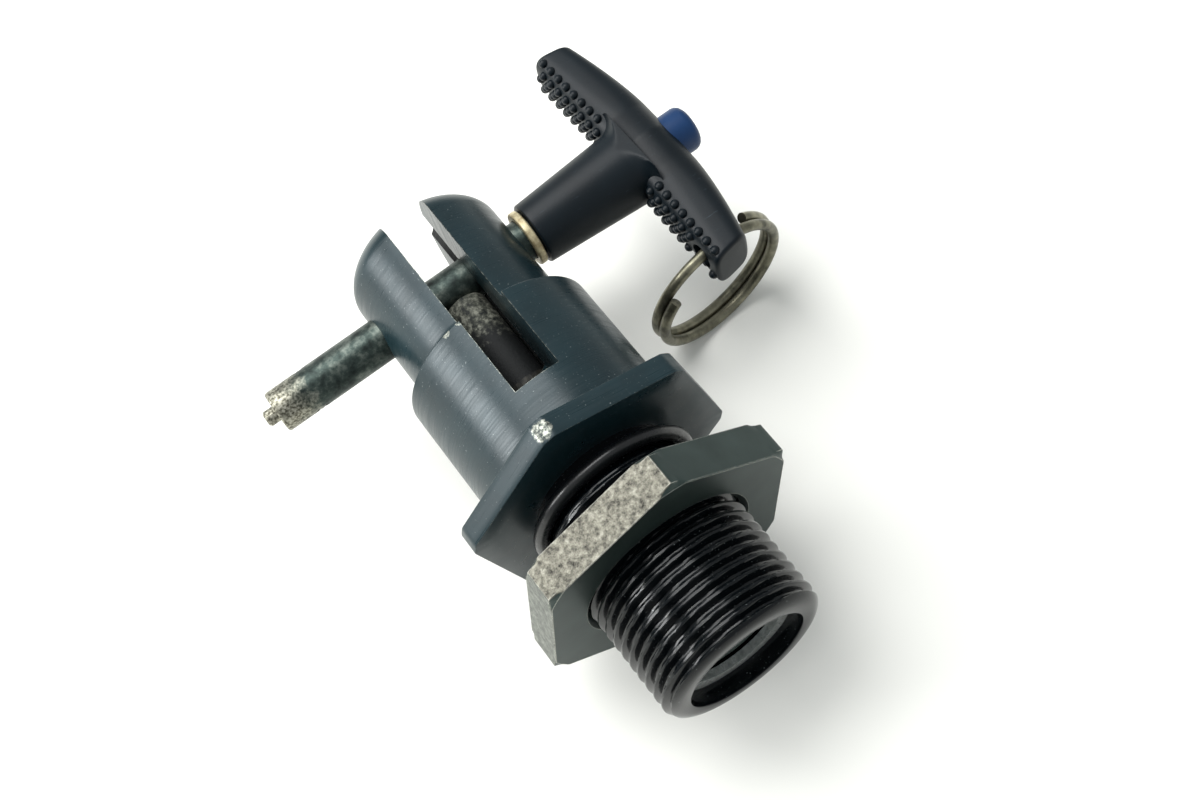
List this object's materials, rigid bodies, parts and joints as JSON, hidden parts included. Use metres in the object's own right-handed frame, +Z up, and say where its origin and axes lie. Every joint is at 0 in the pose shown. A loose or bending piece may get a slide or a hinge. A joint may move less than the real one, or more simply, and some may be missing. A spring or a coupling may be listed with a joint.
{
  "type": "panel-mounted flow control valve",
  "caption": "Threaded panel valve with a hexagonal flange, jam nut, slotted domed head and a T-handled quick-release pin through its fork.",
  "frame": {"origin": "on the valve's axis, in the face of the hexagonal flange that meets the panel", "axes": "+Y along the valve from the panel to the domed fork, +X along the quick-release pin towards its handle, +Z up, square to both"},
  "size_m": [0.0949, 0.1143, 0.0532],
  "materials": {
    "body": "black anodised, satin, worn at its edges",
    "nut": "black anodised, worn to bare metal on two flats",
    "rubber": "black",
    "brass": "turned",
    "steel": "dull",
    "pin_steel": "dark, worn bright at the tip",
    "handle": "moulded, scratched",
    "button": "blue",
    "ring_steel": "stained"
  },
  "bodies": {
    "valve_body": {"valve_body": "body", "flange_o_ring": "rubber", "guide_bush": "brass", "seat_insert": "steel", "seat_o_ring": "rubber", "retaining_ring": "steel", "lift_spring": "steel"},
    "plunger": {"plunger_stem": "steel", "spring_clip": "steel", "poppet": "body", "poppet_seal": "rubber", "poppet_screw": "steel"},
    "nut": {"jam_nut": "nut"},
    "collar": {"pin_collar": "brass"},
    "pin": {"pin_shank": "pin_steel", "t_handle": "handle", "spindle_spring": "steel"},
    "button": {"push_button": "button", "spindle": "pin_steel"},
    "ball_front": {"locking_ball_front": "steel"},
    "ball_rear": {"locking_ball_rear": "steel"},
    "ring": {"split_ring": "ring_steel"}
  },
  "joints": [
    {"name": "stem_press", "type": "slide", "parent": "valve_body", "child": "plunger", "axis": [0, -1, 0], "range_m": [0, 0.004], "stiffness_N_per_m": 1500, "deforming": ["lift_spring"]},
    {"name": "nut_travel", "type": "slide", "parent": "valve_body", "child": "nut", "axis": [0, -1, 0], "range_m": [-0.0055, 0.03]},
    {"name": "pin_pull", "type": "slide", "parent": "valve_body", "child": "collar", "axis": [1, 0, 0], "range_m": [0, 0.058]},
    {"name": "pin_spin", "type": "hinge", "parent": "collar", "child": "pin", "pos_m": [0, 0.0469, 0], "axis": [1, 0, 0], "continuous": true},
    {"name": "button_press", "type": "slide", "parent": "pin", "child": "button", "axis": [-1, 0, 0], "range_m": [0, 0.003], "stiffness_N_per_m": 800, "deforming": ["spindle_spring"]},
    {"name": "ball_front_drop", "type": "slide", "parent": "pin", "child": "ball_front", "axis": [0, 0.9011, 0.4337], "range_m": [0, 0.00035]},
    {"name": "ball_rear_drop", "type": "slide", "parent": "pin", "child": "ball_rear", "axis": [0, -0.9011, -0.4337], "range_m": [0, 0.00035]},
    {"name": "ring_swing", "type": "hinge", "parent": "pin", "child": "ring", "pos_m": [0.0419, 0.0235, 0], "axis": [1, 0, 0], "range_deg": [-150, 35]}
  ],
  "couplings": [
    {"joint": "ball_front_drop", "follows": "button_press", "ratio": 0.11667},
    {"joint": "ball_rear_drop", "follows": "button_press", "ratio": 0.11667}
  ]
}
